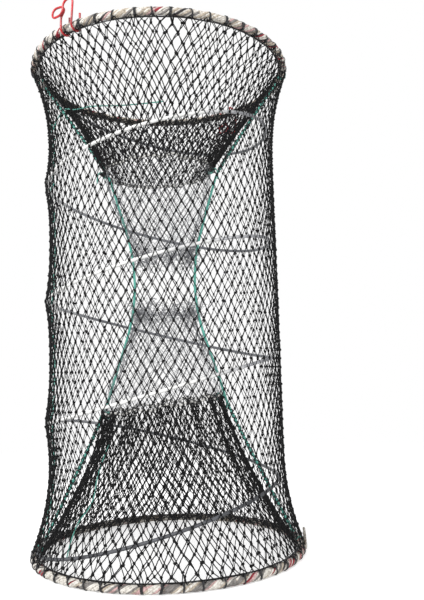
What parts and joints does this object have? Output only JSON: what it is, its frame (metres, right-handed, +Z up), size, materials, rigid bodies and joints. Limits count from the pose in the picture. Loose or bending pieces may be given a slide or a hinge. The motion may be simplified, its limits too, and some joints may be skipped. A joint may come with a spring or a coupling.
{
  "type": "folding crab trap",
  "caption": "Folding crab trap: two rope-bound hoops, a coil spring between them, a net body, entry funnels at both ends and two wire clips.",
  "frame": {"origin": "centre of the lower hoop at floor level", "axes": "+Z up the trap's axis, +X right, +Y away from the front, where the coil climbs from left to right"},
  "size_m": [0.3024, 0.3, 0.5767],
  "materials": {
    "spring_steel": "drawn steel wire",
    "rope_binding": "wound pale rope strips with dark red strands",
    "coated_wire": "white coated spring wire",
    "black_twine": "black twine",
    "black_net": "knotted black twine net",
    "throat_net": "fine grey net",
    "green_cord": "green twisted cord",
    "red_wire": "red plastic coated wire"
  },
  "bodies": {
    "base": {"lower_hoop_ring": "spring_steel", "lower_hoop_binding": "rope_binding", "binding_end_knot": "rope_binding", "lower_net_ties": "black_twine", "lower_spring_tail": "coated_wire", "lower_spring_lashing": "black_twine", "body_net": "black_net", "body_seam_lacing": "green_cord", "lower_funnel_net": "black_net", "lower_funnel_rim": "green_cord", "lower_throat_net": "throat_net", "left_side_cord": "green_cord", "right_side_cord": "green_cord"},
    "top": {"upper_hoop_ring": "spring_steel", "upper_hoop_binding": "rope_binding", "upper_net_ties": "black_twine", "upper_spring_tail": "coated_wire", "upper_spring_lashing": "black_twine", "upper_funnel_net": "black_net", "upper_funnel_rim": "green_cord", "upper_throat_net": "throat_net"},
    "coil_1": {"coil_half_turn_1": "coated_wire"},
    "coil_2": {"coil_half_turn_2": "coated_wire"},
    "coil_3": {"coil_half_turn_3": "coated_wire"},
    "coil_4": {"coil_half_turn_4": "coated_wire"},
    "coil_5": {"coil_half_turn_5": "coated_wire"},
    "coil_6": {"coil_half_turn_6": "coated_wire"},
    "coil_7": {"coil_half_turn_7": "coated_wire"},
    "coil_8": {"coil_half_turn_8": "coated_wire"},
    "clip_1": {"standing_clip": "red_wire"},
    "clip_2": {"hanging_clip": "red_wire"}
  },
  "joints": [
    {"name": "fold", "type": "slide", "parent": "base", "child": "top", "axis": [0, 0, -1], "range_m": [0, 0.50969], "stiffness_N_per_m": 20, "springref_m": -0.4, "deforming": ["body_net", "body_seam_lacing", "lower_funnel_net", "lower_funnel_rim", "lower_throat_net", "left_side_cord", "right_side_cord", "upper_funnel_net", "upper_funnel_rim", "upper_throat_net"]},
    {"name": "coil_turn_1", "type": "hinge", "parent": "base", "child": "coil_1", "pos_m": [-0.142, 0, 0.01004], "axis": [0, 1, 0], "range_deg": [0, 13.9]},
    {"name": "coil_turn_2", "type": "hinge", "parent": "coil_1", "child": "coil_2", "pos_m": [0.12273, 0, 0.07876], "axis": [0, 1, 0], "range_deg": [-27.8, 0]},
    {"name": "coil_turn_3", "type": "hinge", "parent": "coil_2", "child": "coil_3", "pos_m": [-0.13184, 0, 0.14484], "axis": [0, 1, 0], "range_deg": [0, 27.8]},
    {"name": "coil_turn_4", "type": "hinge", "parent": "coil_3", "child": "coil_4", "pos_m": [0.12273, 0, 0.21092], "axis": [0, 1, 0], "range_deg": [-27.8, 0]},
    {"name": "coil_turn_8", "type": "hinge", "parent": "top", "child": "coil_8", "pos_m": [-0.142, 0, 0.54396], "axis": [0, 1, 0], "range_deg": [-13.9, 0]},
    {"name": "coil_turn_7", "type": "hinge", "parent": "coil_8", "child": "coil_7", "pos_m": [0.12273, 0, 0.47524], "axis": [0, 1, 0], "range_deg": [0, 27.8]},
    {"name": "coil_turn_6", "type": "hinge", "parent": "coil_7", "child": "coil_6", "pos_m": [-0.13184, 0, 0.40916], "axis": [0, 1, 0], "range_deg": [-27.8, 0]},
    {"name": "coil_turn_5", "type": "hinge", "parent": "coil_6", "child": "coil_5", "pos_m": [0.12273, 0, 0.34308], "axis": [0, 1, 0], "range_deg": [0, 27.8]},
    {"name": "standing_clip_swing", "type": "hinge", "parent": "top", "child": "clip_1", "pos_m": [-0.08552, -0.11771, 0.5495], "axis": [0.809, -0.5878, 0], "range_deg": [-90, 90]},
    {"name": "hanging_clip_swing", "type": "hinge", "parent": "top", "child": "clip_2", "pos_m": [0.08552, 0.11771, 0.5495], "axis": [0.809, -0.5878, 0], "range_deg": [0, 45]}
  ],
  "couplings": [
    {"joint": "coil_turn_1", "follows": "fold", "rad_per_m": 0.47593},
    {"joint": "coil_turn_2", "follows": "fold", "rad_per_m": -0.95186},
    {"joint": "coil_turn_3", "follows": "fold", "rad_per_m": 0.95186},
    {"joint": "coil_turn_4", "follows": "fold", "rad_per_m": -0.95186},
    {"joint": "coil_turn_8", "follows": "fold", "rad_per_m": -0.47593},
    {"joint": "coil_turn_7", "follows": "fold", "rad_per_m": 0.95186},
    {"joint": "coil_turn_6", "follows": "fold", "rad_per_m": -0.95186},
    {"joint": "coil_turn_5", "follows": "fold", "rad_per_m": 0.95186}
  ]
}
